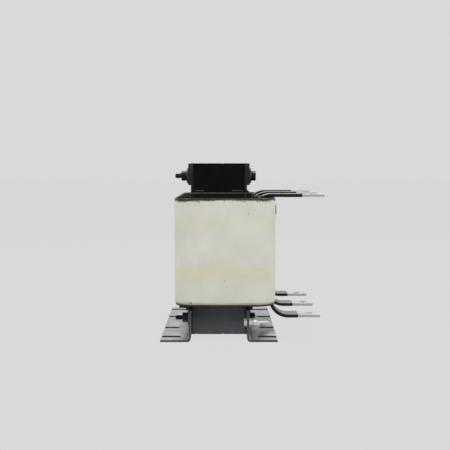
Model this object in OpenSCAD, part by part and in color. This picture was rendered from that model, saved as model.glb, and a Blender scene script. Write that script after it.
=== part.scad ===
// Three-phase line choke: three foil coils on a laminated core, clamped between two angle feet
// and two flat bars, with flat bar leads on one side and an earth terminal on the right foot.
// X runs across the choke towards the leads, Y along the row of coils, Z up.
// The origin lies on the floor, midway between the feet and under the middle leg.

/* [Core] */
// Thickness of the lamination stack, across the choke
stack_w = 60; // [50:1:76]
// Width of each leg, along the choke
leg_w = 34; // [30:1:42]
// Height of each yoke
yoke_h = 34; // [30:1:42]
// Clear height between the yokes
window_h = 131; // [116:1:150]
// Thickness of each air gap plate
gap_plate_t = 2; // [1:0.5:4]
// Height of the core's underside above the floor
core_lift = 6; // [4:0.5:8]

/* [Feet] */
// Sheet thickness of the feet
sheet_t = 2.5; // [2:0.25:3]
// Width of the leaf that lies on the floor, from the foot's inner face to its outer edge
foot_leaf = 35; // [30:1:45]
// Height of the upright leaf
foot_h = 36.5; // [33:0.5:38]
// Length by which each foot passes the core at either end
foot_overhang = 17; // [15:1:30]
// Inside radius of the bend in the sheet
foot_bend_r = 1.5; // [1:0.25:3]
// Width of the fixing slots
slot_w = 9; // [6:0.5:11]
// Distance between the outer slots of one foot
slot_span_outer = 200; // [180:1:214]
// Distance between the inner slots of one foot
slot_span_inner = 80; // [60:1:120]
// Depth of the outer slots from the foot's outer edge
slot_depth_outer = 23; // [15:0.5:25]
// Depth of the inner slots from the foot's outer edge
slot_depth_inner = 18.7; // [12:0.1:25]

/* [Clamping] */
// Thickness of the clamp bars beside the top yoke
clamp_bar_t = 3; // [2:0.5:5]
// Height of the clamp bars
clamp_bar_h = 25; // [22:0.5:27]
// Thickness of the insulating strips between the core and what clamps it
strip_t = 2.4; // [1:0.2:4]
// Distance from the core's top down to the upper bolts
top_bolt_drop = 14.6; // [12:0.2:17]

/* [Coils] */
// Number of turns of foil in each coil
loops = 9; // [5:1:11]
// Radial build of each foil winding
winding_build = 15.6; // [13:0.2:24]
// Thickness of the foil
foil_t = 0.8; // [0.3:0.1:0.9]
// Thickness of the sheet wound between the turns
interleaf_t = 0.3; // [0.2:0.05:0.35]
// Outward bow of the coil's long sides
coil_bulge = 2.7; // [0:0.1:6]
// Space between neighbouring coils
coil_gap = 4.6; // [2:0.2:20]
// Space between the bottom yoke and the coil wrap
coil_bottom_space = 3.6; // [3:0.1:6]
// Space between the coil wrap and the top yoke
coil_top_space = 6.6; // [6:0.1:12]
// Wall of the winding former
former_wall = 2.7; // [1.5:0.1:4]
// Thickness of the coil liner
liner_t = 1.2; // [0.6:0.1:2]
// Thickness of the coil wrap
wrap_t = 1; // [0.5:0.1:2]

/* [Leads] */
// Width of the flat bars
bar_w = 25; // [18:1:28]
// Thickness of the flat bars
bar_t = 3; // [2:0.25:4]
// Wall of the sleeves on the bars
sleeve_t = 0.5; // [0.3:0.1:0.8]
// Inside radius of the bend in each bar
lead_bend_r = 19; // [14:0.5:20]
// Distance from the foot's outer edge to the end of the upper bars
start_reach = 55.1; // [45:0.1:80]
// Distance from the foot's outer edge to the end of the lower bars
finish_reach = 50.9; // [45:0.1:80]
// Length of bare bar past each sleeve
bare_length = 25.8; // [20:0.1:32]
// Diameter of the hole in each bar
terminal_d = 9; // [6:0.5:11]
// Distance from the coil wrap's lower edge down to the middle of the lower bars
finish_drop = 16.9; // [14:0.1:20]

/* [Fasteners] */
// Diameter of the yoke bolts
bolt_d = 6; // [5:0.5:6.5]
// Diameter of the earth bolt
earth_d = 5; // [4:0.5:5]
// Length of the earth bolt under its head
earth_len = 25; // [22:1:35]

/* [Hidden] */
$fn = 48;
// One overrun serves every cut
cut = 1;
// Clearance between pieces that are slid or wound over each other
slip = 0.3;
// Clearance of a piece pressed close round another
close_gap = 0.1;
// Radial clearance of a nut on its bolt
thread_gap = 0.05;

// Core places
leg_clearance = 0.3;
core_bottom = core_lift;
window_bottom = core_bottom + yoke_h;
window_top = window_bottom + window_h;
core_top = window_top + yoke_h;
stack_half = stack_w / 2;
clamp_face = stack_half + strip_t;

// Coil places, from the leg outwards
former_corner_r = 4;
former_half_x = stack_half + leg_clearance + former_wall;
former_half_y = leg_w / 2 + leg_clearance + former_wall;
packing_t = 5.1;
packing_w = 30;
packing_rise = 6;
packing_slope_h = 8;
packing_tip_t = 0.7;
packing_outer = former_half_x + packing_t;
sleeve_depth = bar_t + 2 * sleeve_t;
start_sleeve_in = packing_outer + slip;
start_bar_in = start_sleeve_in + sleeve_t;
start_bar_out = start_bar_in + bar_t;
ring_start_r = former_corner_r + slip;
ring_y = former_half_y - former_corner_r;
ring_left = former_corner_r - former_half_x;
ring_right = start_bar_out + slip - ring_start_r;
winding_end_r = ring_start_r + winding_build;
finish_sleeve_in = ring_right + winding_end_r + slip;
finish_sleeve_out = finish_sleeve_in + sleeve_depth;
// Room for the lower bars to start their bend inside the liner
bend_room = 1.1;
shell_right = finish_sleeve_out + bend_room - winding_end_r - slip;
liner_in_r = winding_end_r + slip;
liner_out_r = liner_in_r + liner_t;
wrap_in_r = liner_out_r + close_gap;
wrap_out_r = wrap_in_r + wrap_t;
coil_half_y = ring_y + wrap_out_r + coil_bulge;
leg_pitch = 2 * coil_half_y + coil_gap;
core_len = 2 * leg_pitch + leg_w;
coil_bottom = window_bottom + coil_bottom_space;
coil_top = window_top - coil_top_space;
liner_drop = 2;
liner_rise = 1;
interleaf_margin = 3;
foil_bottom_margin = 13;

// Winding stations: how finely the corners and long sides of one turn are drawn
turn_corner_steps = 3;
turn_side_points = 2;
shell_corner_steps = 8;
shell_side_points = 5;
foil_pitch = (winding_build - foil_t) / loops;

// Lead places
start_under = coil_top + liner_rise + slip;
foot_edge = clamp_face + foot_leaf;
start_end = foot_edge + start_reach;
finish_end = foot_edge + finish_reach;
terminal_inset = bar_w / 2;
start_bend_x = start_bar_out + lead_bend_r;
start_bend_z = start_under - (lead_bend_r - sleeve_t);
finish_bend_x = finish_sleeve_out - sleeve_t + lead_bend_r;
finish_bend_z = coil_bottom - finish_drop + bar_t / 2 + lead_bend_r;
sleeve_tail = 2;
foil_bottom = coil_bottom + foil_bottom_margin;
foil_top = start_bend_z - sleeve_tail - slip;

// Fastener sizes follow the bolt's diameter
nut_af_share = 5 / 3;
nut_h_share = 5 / 6;
head_h_share = 2 / 3;
washer_d_share = 2;
washer_t_share = 4 / 15;
washer_bore_share = 16 / 15;
wide_washer_d_share = 3;
wide_washer_t = 2;
tube_wall = 1;
hole_gap = 0.3;
bolt_tail = 7;
tube_bore_d = bolt_d * washer_bore_share;
tube_d = tube_bore_d + 2 * tube_wall;
yoke_hole_d = tube_d + 2 * hole_gap;
nut_h = bolt_d * nut_h_share;
washer_t = bolt_d * washer_t_share;
foot_face = clamp_face + sheet_t;
bar_face = clamp_face + clamp_bar_t;
washer_stack = wide_washer_t + washer_t;
bolt_len = 2 * (bar_face + washer_stack) + nut_h + bolt_tail;
upper_bolt_z = core_top - top_bolt_drop;
lower_bolt_z = core_bottom + yoke_h / 2;
clamp_bar_drop = 0.3;

// Earth terminal places
earth_setback = 8.5;
earth_z = 21.6;
earth_y = -(core_len / 2 + earth_setback);
earth_hole_gap = 0.25;
earth_nut_h_share = 4 / 5;
earth_nut_af_share = 8 / 5;
earth_head_h_share = 7 / 10;
earth_washer_t_share = 1 / 5;
earth_nut_h = earth_d * earth_nut_h_share;
earth_nut_af = earth_d * earth_nut_af_share;
earth_head_h = earth_d * earth_head_h_share;
earth_washer_t = earth_d * earth_washer_t_share;
earth_washer_bore_d = earth_d + 2 * earth_hole_gap;
spring_washer_d_share = 9.2 / 5;
spring_washer_t = 1.3;
spring_washer_split = 1.2;
lock_teeth = 10;
tooth_depth = 0.9;
lock_washer_x = foot_face;
fixing_nut_x = lock_washer_x + earth_washer_t;
inner_washer_x = fixing_nut_x + earth_nut_h;
outer_washer_x = inner_washer_x + earth_washer_t;
spring_washer_x = outer_washer_x + earth_washer_t;
outer_nut_x = spring_washer_x + spring_washer_t;

// Bow of a long side at corner radius r, growing from the former outwards
function bow(r) = coil_bulge * (r - ring_start_r) / (wrap_out_r - ring_start_r);

// Stations round one turn: share of the way from left to right corner, share of the
// corner's distance in Y, and the direction in which that point faces
function stations(corner_steps, side_points) = [
    for (i = [0 : corner_steps]) [1, 1, 90 * i / corner_steps],
    for (j = [1 : side_points]) [1 - j / (side_points + 1), 1, 90],
    for (i = [0 : corner_steps]) [0, 1, 90 + 90 * i / corner_steps],
    for (i = [0 : corner_steps]) [0, -1, 180 + 90 * i / corner_steps],
    for (j = [1 : side_points]) [j / (side_points + 1), -1, 270],
    for (i = [0 : corner_steps]) [1, -1, 270 + 90 * i / corner_steps]
];

// Point of a station at corner radius r, with the right corners at right
function ring_point(s, r, right) =
    let (
        x = ring_left + s[0] * (right - ring_left) + r * cos(s[2]),
        mid = (ring_left + right) / 2,
        half = (right - ring_left) / 2 + r,
        side = sin(s[2])
    )
    [x, s[1] * ring_y + r * side + side * bow(r) * (1 - pow((x - mid) / half, 2))];

// Closed outline of the coil's shells at corner radius r
function shell_outline(r) =
    [for (s = stations(shell_corner_steps, shell_side_points)) ring_point(s, r, shell_right)];

// One unbroken strip wound round the former: a list of stations with their radius, with
// a short run beside the bars before its first corner and after its last one
bar_share = bar_w / (2 * ring_y);
function strip_path(turns, first_r) =
    let (
        turn = stations(turn_corner_steps, turn_side_points),
        count = len(turn)
    )
    [
        [[1, -bar_share, 0], first_r],
        for (k = [0 : turns * count - 1]) [turn[k % count], first_r + foil_pitch * k / count],
        [[1, bar_share, 0], first_r + foil_pitch * turns]
    ];

// Outline of a wound strip of thickness t along its path
function strip_outline(path, t) = concat(
    [for (p = path) ring_point(p[0], p[1] + t / 2, ring_right)],
    [for (i = [len(path) - 1 : -1 : 0]) ring_point(path[i][0], path[i][1] - t / 2, ring_right)]
);

foil_path = strip_path(loops, ring_start_r + foil_t / 2);
interleaf_path = strip_path(loops - 1, ring_start_r + foil_t / 2 + foil_pitch / 2);

// Distance of point p from the line through a and b
function line_distance(p, a, b) =
    abs((b[0] - a[0]) * (p[1] - a[1]) - (b[1] - a[1]) * (p[0] - a[0])) / norm(b - a);

// Least space between each turn of a strip and the next one, measured on its points
function least_gap(path, t) =
    let (
        mid = [for (p = path) ring_point(p[0], p[1], ring_right)],
        count = len(stations(turn_corner_steps, turn_side_points))
    )
    min([
        for (i = [1 : len(mid) - count - 2])
            line_distance(mid[i], mid[i + count], mid[i + count + 1]) - t
    ]);

echo(foil_least_gap_mm = least_gap(foil_path, foil_t));
echo(interleaf_least_gap_mm = least_gap(interleaf_path, interleaf_t));

// Upright outline drawn in X and Z, pulled through the width w along Y
module upright(w) {
    rotate([90, 0, 0])
        translate([0, 0, -w / 2])
            linear_extrude(w)
                children();
}

// Rod along X from x, of diameter d and length l
module rod(x, d, l) {
    translate([x, 0, 0])
        rotate([0, 90, 0])
            cylinder(d = d, h = l);
}

// Hexagon along X from x, with its size across the flats
module hexagon(x, af, h) {
    translate([x, 0, 0])
        rotate([0, 90, 0])
            cylinder(d = af / cos(30), h = h, $fn = 6);
}

// Flat ring along X from x
module flat_ring(x, d, bore_d, t) {
    difference() {
        rod(x, d, t);
        rod(x - cut, bore_d, t + 2 * cut);
    }
}

// Children at each of the three legs
module at_legs() {
    for (place = [-1 : 1])
        translate([0, place * leg_pitch, 0])
            children();
}

// Children at each of the six yoke bolts
module at_bolts() {
    at_legs()
        for (z = [lower_bolt_z, upper_bolt_z])
            translate([0, 0, z])
                children();
}

// Plate across the core's side at height z, drilled for the bolts at bolt_z
module drilled_plate(x, t, len, z, h, bolt_z) {
    difference() {
        translate([x, -len / 2, z])
            cube([t, len, h]);
        at_legs()
            translate([0, 0, bolt_z])
                rod(x - cut, yoke_hole_d, t + 2 * cut);
    }
}

module yoke(z, bolt_z) {
    color([0.14, 0.14, 0.15])
        drilled_plate(-stack_half, stack_w, core_len, z, yoke_h, bolt_z);
}

module core_leg(place) {
    color([0.2, 0.2, 0.21])
        translate([-stack_half, place * leg_pitch - leg_w / 2, window_bottom + gap_plate_t])
            cube([stack_w, leg_w, window_h - 2 * gap_plate_t]);
}

module air_gap_plates() {
    color([0.75, 0.7, 0.5])
        at_legs()
            for (z = [window_bottom, window_top - gap_plate_t])
                translate([-stack_half, -leg_w / 2, z])
                    cube([stack_w, leg_w, gap_plate_t]);
}

// Insulating strip beside a yoke, on the side given by side
module core_strip(side, z, h, bolt_z) {
    color([0.35, 0.34, 0.3])
        drilled_plate(side > 0 ? stack_half : -clamp_face, strip_t, core_len, z, h, bolt_z);
}

module top_strip(side) {
    core_strip(side, core_top - clamp_bar_drop - clamp_bar_h, clamp_bar_h, upper_bolt_z);
}

module foot_strip(side) {
    core_strip(side, core_bottom, foot_h - core_bottom, lower_bolt_z);
}

module clamp_bar(side) {
    color([0.1, 0.1, 0.11])
        drilled_plate(
            side > 0 ? clamp_face : -bar_face, clamp_bar_t, core_len,
            core_top - clamp_bar_drop - clamp_bar_h, clamp_bar_h, upper_bolt_z
        );
}

// Section of the right foot: two leaves and the bend between them
module foot_section() {
    outer_r = foot_bend_r + sheet_t;
    translate([clamp_face, outer_r])
        square([sheet_t, foot_h - outer_r]);
    translate([clamp_face + outer_r, 0])
        square([foot_leaf - outer_r, sheet_t]);
    translate([clamp_face + outer_r, outer_r])
        intersection() {
            difference() {
                circle(outer_r);
                circle(foot_bend_r);
            }
            translate([-outer_r, -outer_r])
                square(outer_r);
        }
}

// Slot cut in from the foot's outer edge, rounded at its inner end
module foot_slot(y, depth) {
    centre_x = foot_edge - depth + slot_w / 2;
    translate([centre_x, y, -cut])
        cylinder(d = slot_w, h = sheet_t + 2 * cut);
    translate([centre_x, y - slot_w / 2, -cut])
        cube([foot_edge - centre_x + cut, slot_w, sheet_t + 2 * cut]);
}

module right_foot_body() {
    difference() {
        upright(core_len + 2 * foot_overhang)
            foot_section();
        for (end = [-1, 1]) {
            foot_slot(end * slot_span_outer / 2, slot_depth_outer);
            foot_slot(end * slot_span_inner / 2, slot_depth_inner);
        }
        at_legs()
            translate([0, 0, lower_bolt_z])
                rod(clamp_face - cut, yoke_hole_d, sheet_t + 2 * cut);
    }
}

module foot_left() {
    color([0.72, 0.73, 0.74])
        mirror([1, 0, 0])
            right_foot_body();
}

module foot_right() {
    color([0.72, 0.73, 0.74])
        difference() {
            right_foot_body();
            translate([0, earth_y, earth_z])
                rod(clamp_face - cut, earth_washer_bore_d, sheet_t + 2 * cut);
        }
}

// Rectangle with rounded corners round a leg
module rounded_outline(half_x, half_y, r) {
    square([2 * half_x, 2 * (half_y - r)], center = true);
    square([2 * (half_x - r), 2 * half_y], center = true);
    for (x = [-1, 1])
        for (y = [-1, 1])
            translate([x * (half_x - r), y * (half_y - r)])
                circle(r);
}

module winding_former(place) {
    color([0.09, 0.09, 0.1])
        translate([0, place * leg_pitch, window_bottom])
            linear_extrude(window_h)
                difference() {
                    rounded_outline(former_half_x, former_half_y, former_corner_r);
                    square([2 * (former_half_x - former_wall), 2 * (former_half_y - former_wall)],
                        center = true);
                }
}

// Bar beside the former that keeps the upper leads off the core, sloped at its top
module lead_packing(place) {
    top = window_top + packing_rise;
    color([0.08, 0.08, 0.09])
        translate([0, place * leg_pitch, 0])
            upright(packing_w)
                polygon([
                    [former_half_x, coil_bottom],
                    [packing_outer, coil_bottom],
                    [packing_outer, top - packing_slope_h],
                    [former_half_x + packing_tip_t, top],
                    [former_half_x, top]
                ]);
}

module foil_winding(place) {
    color([0.72, 0.45, 0.3])
        translate([0, place * leg_pitch, foil_bottom])
            linear_extrude(foil_top - foil_bottom)
                polygon(strip_outline(foil_path, foil_t));
}

// The sheet stands out past the foil, and is cut away where the upper lead crosses it
module interleaf_sheet(place) {
    notch_w = bar_w + 2 * sleeve_t + 2 * slip;
    color([0.3, 0.2, 0.12])
        translate([0, place * leg_pitch, 0])
            difference() {
                translate([0, 0, coil_bottom + interleaf_margin])
                    linear_extrude(coil_top - coil_bottom - 2 * interleaf_margin)
                        polygon(strip_outline(interleaf_path, interleaf_t));
                translate([ring_right, -notch_w / 2, foil_top])
                    cube([finish_sleeve_out - ring_right, notch_w, coil_top - foil_top]);
            }
}

// Tube between two corner radii, from height z
module coil_shell(place, inner_r, outer_r, z, h) {
    translate([0, place * leg_pitch, z])
        linear_extrude(h)
            difference() {
                polygon(shell_outline(outer_r));
                polygon(shell_outline(inner_r));
            }
}

module coil_liner(place) {
    color([0.16, 0.12, 0.1])
        coil_shell(place, liner_in_r, liner_out_r, coil_bottom - liner_drop,
            coil_top - coil_bottom + liner_drop + liner_rise);
}

module coil_wrap(place) {
    color([0.86, 0.84, 0.76])
        coil_shell(place, wrap_in_r, wrap_out_r, coil_bottom, coil_top - coil_bottom);
}

// Section of a bent bar, with the centre of its bend at the origin: it comes up by rise on
// the left, bends round inside radius r and runs off to the right by run
module bent_section(r, t, rise, run) {
    translate([-r - t, -rise])
        square([t, rise]);
    translate([0, r])
        square([run, t]);
    intersection() {
        difference() {
            circle(r + t, $fn = 96);
            circle(r, $fn = 96);
        }
        translate([-r - t, 0])
            square(r + t);
    }
}

// Bar with its terminal hole, its bend centred at height z and x, turned down for the lower leads
module lead_bar(place, x, z, flip, rise, end) {
    translate([x, place * leg_pitch, z])
        mirror([0, 0, flip])
            difference() {
                upright(bar_w)
                    bent_section(lead_bend_r, bar_t, rise, end - x);
                translate([end - x - terminal_inset, 0, lead_bend_r - cut])
                    cylinder(d = terminal_d, h = bar_t + 2 * cut);
            }
}

// Sleeve round the same bar, ending short of it by the bare length
module lead_sleeve(place, x, z, flip, rise, end) {
    run = end - bare_length - x;
    color([0.07, 0.07, 0.08])
        translate([x, place * leg_pitch, z])
            mirror([0, 0, flip])
                difference() {
                    upright(bar_w + 2 * sleeve_t)
                        bent_section(lead_bend_r - sleeve_t, sleeve_depth, rise, run);
                    upright(bar_w + 2 * close_gap)
                        bent_section(lead_bend_r - close_gap, bar_t + 2 * close_gap,
                            rise + cut, run + cut);
                }
}

module start_bar(place) {
    color([0.8, 0.79, 0.76])
        lead_bar(place, start_bend_x, start_bend_z, 0, start_bend_z - foil_bottom, start_end);
}

module start_sleeve(place) {
    lead_sleeve(place, start_bend_x, start_bend_z, 0, sleeve_tail, start_end);
}

module finish_bar(place) {
    color([0.8, 0.79, 0.76])
        lead_bar(place, finish_bend_x, finish_bend_z, 1, foil_top - finish_bend_z, finish_end);
}

module finish_sleeve(place) {
    lead_sleeve(place, finish_bend_x, finish_bend_z, 1,
        foil_bottom - slip - finish_bend_z, finish_end);
}

// Outer face of what the bolts clamp at height z
function bolt_face(z) = z > window_top ? bar_face : foot_face;

module yoke_bolts() {
    color([0.08, 0.08, 0.09])
        at_legs()
            for (z = [lower_bolt_z, upper_bolt_z])
                translate([0, 0, z]) {
                    head_x = bolt_face(z) + washer_stack;
                    rod(head_x - bolt_len, bolt_d, bolt_len);
                    hexagon(head_x, bolt_d * nut_af_share, bolt_d * head_h_share);
                }
}

module yoke_nuts() {
    color([0.08, 0.08, 0.09])
        at_legs()
            for (z = [lower_bolt_z, upper_bolt_z])
                translate([0, 0, z])
                    difference() {
                        nut_x = -bolt_face(z) - washer_stack - nut_h;
                        hexagon(nut_x, bolt_d * nut_af_share, nut_h);
                        rod(nut_x - cut, bolt_d + 2 * thread_gap, nut_h + 2 * cut);
                    }
}

// Rings on both sides of the core, offset outwards from the clamped face
module ring_pairs(offset_x, d, t) {
    at_legs()
        for (z = [lower_bolt_z, upper_bolt_z])
            for (side = [0, 1])
                translate([0, 0, z])
                    mirror([side, 0, 0])
                        flat_ring(bolt_face(z) + offset_x, d, bolt_d * washer_bore_share, t);
}

module yoke_washers() {
    color([0.1, 0.1, 0.11])
        ring_pairs(wide_washer_t, bolt_d * washer_d_share, washer_t);
}

module insulating_washers() {
    color([0.3, 0.29, 0.26])
        ring_pairs(0, bolt_d * wide_washer_d_share, wide_washer_t);
}

module bolt_tubes() {
    color([0.8, 0.75, 0.6])
        at_bolts()
            flat_ring(-clamp_face, tube_d, tube_bore_d, 2 * clamp_face);
}

// Children at the earth terminal
module at_earth() {
    translate([0, earth_y, earth_z])
        children();
}

module earth_bolt() {
    color([0.85, 0.86, 0.88])
        at_earth() {
            hexagon(clamp_face - earth_head_h, earth_nut_af, earth_head_h);
            rod(clamp_face, earth_d, earth_len);
        }
}

module earth_lock_washer() {
    outer_r = earth_d * washer_d_share / 2;
    half_tooth = 90 / lock_teeth;
    color([0.8, 0.81, 0.83])
        at_earth()
            difference() {
                translate([lock_washer_x, 0, 0])
                    rotate([0, 90, 0])
                        linear_extrude(earth_washer_t)
                            polygon([
                                for (i = [0 : 4 * lock_teeth - 1])
                                    let (
                                        low = i % 4 > 1,
                                        r = low ? outer_r - tooth_depth : outer_r,
                                        a = i * half_tooth
                                    )
                                    [r * cos(a), r * sin(a)]
                            ]);
                rod(lock_washer_x - cut, earth_washer_bore_d, earth_washer_t + 2 * cut);
            }
}

module earth_nut_at(x) {
    difference() {
        hexagon(x, earth_nut_af, earth_nut_h);
        rod(x - cut, earth_d + 2 * thread_gap, earth_nut_h + 2 * cut);
    }
}

module earth_fixing_nut() {
    color([0.85, 0.86, 0.88])
        at_earth()
            earth_nut_at(fixing_nut_x);
}

module earth_washer(x) {
    color([0.88, 0.88, 0.9])
        at_earth()
            flat_ring(x, earth_d * washer_d_share, earth_washer_bore_d, earth_washer_t);
}

module earth_spring_washer() {
    outer_d = earth_d * spring_washer_d_share;
    color([0.7, 0.7, 0.72])
        at_earth()
            difference() {
                flat_ring(spring_washer_x, outer_d, earth_washer_bore_d, spring_washer_t);
                translate([spring_washer_x - cut, -spring_washer_split / 2, 0])
                    cube([spring_washer_t + 2 * cut, spring_washer_split, outer_d]);
            }
}

module earth_nut() {
    color([0.85, 0.86, 0.88])
        at_earth()
            earth_nut_at(outer_nut_x);
}

yoke(core_bottom, lower_bolt_z);  // bottom_yoke
yoke(window_top, upper_bolt_z);  // top_yoke
core_leg(-1);  // core_leg_front
core_leg(0);  // core_leg_middle
core_leg(1);  // core_leg_rear
air_gap_plates();
top_strip(-1);  // top_strip_left
top_strip(1);  // top_strip_right
foot_strip(-1);  // foot_strip_left
foot_strip(1);  // foot_strip_right
clamp_bar(-1);  // clamp_bar_left
clamp_bar(1);  // clamp_bar_right
foot_left();
foot_right();
winding_former(-1);  // winding_former_front
winding_former(0);  // winding_former_middle
winding_former(1);  // winding_former_rear
lead_packing(-1);  // lead_packing_front
lead_packing(0);  // lead_packing_middle
lead_packing(1);  // lead_packing_rear
foil_winding(-1);  // foil_winding_front
foil_winding(0);  // foil_winding_middle
foil_winding(1);  // foil_winding_rear
interleaf_sheet(-1);  // interleaf_sheet_front
interleaf_sheet(0);  // interleaf_sheet_middle
interleaf_sheet(1);  // interleaf_sheet_rear
coil_liner(-1);  // coil_liner_front
coil_liner(0);  // coil_liner_middle
coil_liner(1);  // coil_liner_rear
coil_wrap(-1);  // coil_wrap_front
coil_wrap(0);  // coil_wrap_middle
coil_wrap(1);  // coil_wrap_rear
start_bar(-1);  // start_bar_front
start_bar(0);  // start_bar_middle
start_bar(1);  // start_bar_rear
start_sleeve(-1);  // start_sleeve_front
start_sleeve(0);  // start_sleeve_middle
start_sleeve(1);  // start_sleeve_rear
finish_bar(-1);  // finish_bar_front
finish_bar(0);  // finish_bar_middle
finish_bar(1);  // finish_bar_rear
finish_sleeve(-1);  // finish_sleeve_front
finish_sleeve(0);  // finish_sleeve_middle
finish_sleeve(1);  // finish_sleeve_rear
yoke_bolts();
yoke_nuts();
yoke_washers();
insulating_washers();
bolt_tubes();
earth_bolt();
earth_lock_washer();
earth_fixing_nut();
earth_washer(inner_washer_x);  // earth_inner_washer
earth_washer(outer_washer_x);  // earth_outer_washer
earth_spring_washer();
earth_nut();
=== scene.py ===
import math
import random

import bpy
from mathutils import Color, Matrix, Vector, noise


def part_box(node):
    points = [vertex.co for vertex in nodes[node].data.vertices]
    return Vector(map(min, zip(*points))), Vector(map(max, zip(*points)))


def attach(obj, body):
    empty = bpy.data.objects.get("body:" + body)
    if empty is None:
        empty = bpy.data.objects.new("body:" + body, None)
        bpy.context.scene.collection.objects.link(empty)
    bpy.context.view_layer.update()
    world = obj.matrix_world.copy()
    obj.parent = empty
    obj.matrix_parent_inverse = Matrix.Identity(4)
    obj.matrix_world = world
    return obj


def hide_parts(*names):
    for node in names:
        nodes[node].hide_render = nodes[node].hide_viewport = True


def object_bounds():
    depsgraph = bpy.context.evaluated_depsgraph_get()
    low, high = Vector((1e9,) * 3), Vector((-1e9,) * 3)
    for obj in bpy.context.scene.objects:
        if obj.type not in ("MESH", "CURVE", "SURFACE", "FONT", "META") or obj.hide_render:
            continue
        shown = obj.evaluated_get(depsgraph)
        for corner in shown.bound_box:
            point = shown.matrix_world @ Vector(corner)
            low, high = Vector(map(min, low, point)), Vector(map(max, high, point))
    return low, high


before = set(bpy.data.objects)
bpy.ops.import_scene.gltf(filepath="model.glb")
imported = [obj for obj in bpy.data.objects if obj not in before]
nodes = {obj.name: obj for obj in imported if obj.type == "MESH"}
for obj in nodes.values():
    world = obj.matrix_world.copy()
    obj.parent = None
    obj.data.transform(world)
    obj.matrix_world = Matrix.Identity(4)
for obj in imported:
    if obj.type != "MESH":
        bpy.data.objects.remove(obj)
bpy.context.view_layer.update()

places = ("front", "middle", "rear")
mm = 0.001
hair = 0.000001  # closer than this, two vertices are one
overrun = mm  # that a cutter goes past what it cuts
facing = 0.9  # of a face's normal along an axis, from which it looks that way
roundSides = 48  # of a cylinder, where a piece doesn't say
dice = random.Random(41)
print("frame loaded,", len(nodes), "nodes")


# Camera, lights and floor

camera = {
    "place": (6.1, -1124.7, 199.3),  # mm
    "tilt": 86.32,  # degrees from looking straight down
    "turn": -0.05,
    "lens": 70.7,  # mm, on the sensor below
    "sensor": 36,
}
studio = {
    "backdrop": "d9d9d9",
    "roomFront": 0.05,  # what the room gives besides the softboxes: dark behind the camera
    "roomBack": 0.72,  # pale behind the object
    "roomTurn": (-0.2, 0.6),  # Y of the way looked, where the room starts to turn pale and where it is
    "floorHalf": 12,  # m
    "floorGlow": 0.675,  # as the camera sees it
    "floorBounce": 0.41,  # as the object is lit by it
    "floorWhite": 0.015,
}
softboxes = {
    "overhead": {"place": (-0.1, 0.15, 1.5), "size": (1.5, 1.3), "power": 17},
    "left": {"place": (-1.25, -0.95, 0.75), "size": (0.9, 1.3), "power": 12},
    "right": {"place": (1.3, -0.85, 0.8), "size": (0.8, 1.2), "power": 14.5},
    "front": {"place": (0, -1.5, 1.3), "size": (0.9, 0.4), "power": 6},
    "back": {"place": (0.3, 1.5, 1.0), "size": (1.2, 0.8), "power": 6},
}


def linear(hexColour):
    # a colour picked as sRGB hex, in the linear values that shaders take
    channels = [int(hexColour[at:at + 2], 16) / 255 for at in (0, 2, 4)]
    return (*Color(channels).from_srgb_to_scene_linear(), 1)


def findSocket(sockets, name):
    return next(s for s in sockets if name in (s.identifier, s.name))


mainOutputs = {
    "TexCoord": "Object",
    "Mapping": "Vector",
    "TexNoise": "Fac",
    "TexWave": "Fac",
    "ValToRGB": "Color",
    "Mix": "Result_Color",
    "MapRange": "Result",
    "Math": "Value",
    "Bump": "Normal",
    "Background": "Background",
    "MixShader": "Shader",
    "BsdfPrincipled": "BSDF",
}


def link(tree, source, socket):
    # from a node's main output, or from another where source is the node with that output's name
    if isinstance(source, tuple):
        node, output = source
    else:
        node, output = source, mainOutputs[source.bl_idname.removeprefix("ShaderNode")]
    tree.links.new(findSocket(node.outputs, output), socket)


def addNode(tree, kind, settings=None, links=None):
    # one shader node with its settings, its values and what feeds it; a texture's grain is in mm
    node = tree.nodes.new("ShaderNode" + kind)
    for name, value in (settings or {}).items():
        if name == "stops":
            elements = node.color_ramp.elements
            for at, stop in enumerate(value):
                element = elements[at] if at < 2 else elements.new(stop[0])
                element.position = stop[0]
                element.color = linear(stop[1])
        elif name == "grain":
            node.inputs["Scale"].default_value = 1 / (value * mm)
        elif hasattr(node, name):
            setattr(node, name, value)
        else:
            findSocket(node.inputs, name).default_value = value
    for name, source in (links or {}).items():
        link(tree, source, findSocket(node.inputs, name))
    return node


def setCamera():
    place = [part * mm for part in camera["place"]]
    turn = (math.radians(camera["tilt"]), 0, math.radians(camera["turn"]))
    bpy.ops.object.camera_add(location=place, rotation=turn)
    seen = bpy.context.object
    seen.data.sensor_width = camera["sensor"]
    seen.data.lens = camera["lens"]
    bpy.context.scene.camera = seen


def setRoom():
    # camera rays see the plain backdrop, everything else a room that is pale behind the object only
    world = bpy.data.worlds.new("room")
    bpy.context.scene.world = world
    world.use_nodes = True
    tree = world.node_tree
    tree.nodes.clear()
    rays = addNode(tree, "LightPath")
    seen = addNode(tree, "Background", {"Color": linear(studio["backdrop"])})
    way = addNode(tree, "TexCoord")
    part = addNode(tree, "SeparateXYZ", {}, {"Vector": (way, "Generated")})
    light = addNode(tree, "MapRange", {
        "From Min": studio["roomTurn"][0], "From Max": studio["roomTurn"][1],
        "To Min": studio["roomFront"], "To Max": studio["roomBack"]}, {"Value": (part, "Y")})
    room = addNode(tree, "Background", {"Color": (1, 1, 1, 1)}, {"Strength": light})
    mix = addNode(tree, "MixShader", {}, {
        "Fac": (rays, "Is Camera Ray"), "Shader": room, "Shader_001": seen})
    addNode(tree, "OutputWorld", {}, {"Surface": mix})
    bpy.context.scene.view_settings.view_transform = "Standard"


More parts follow.
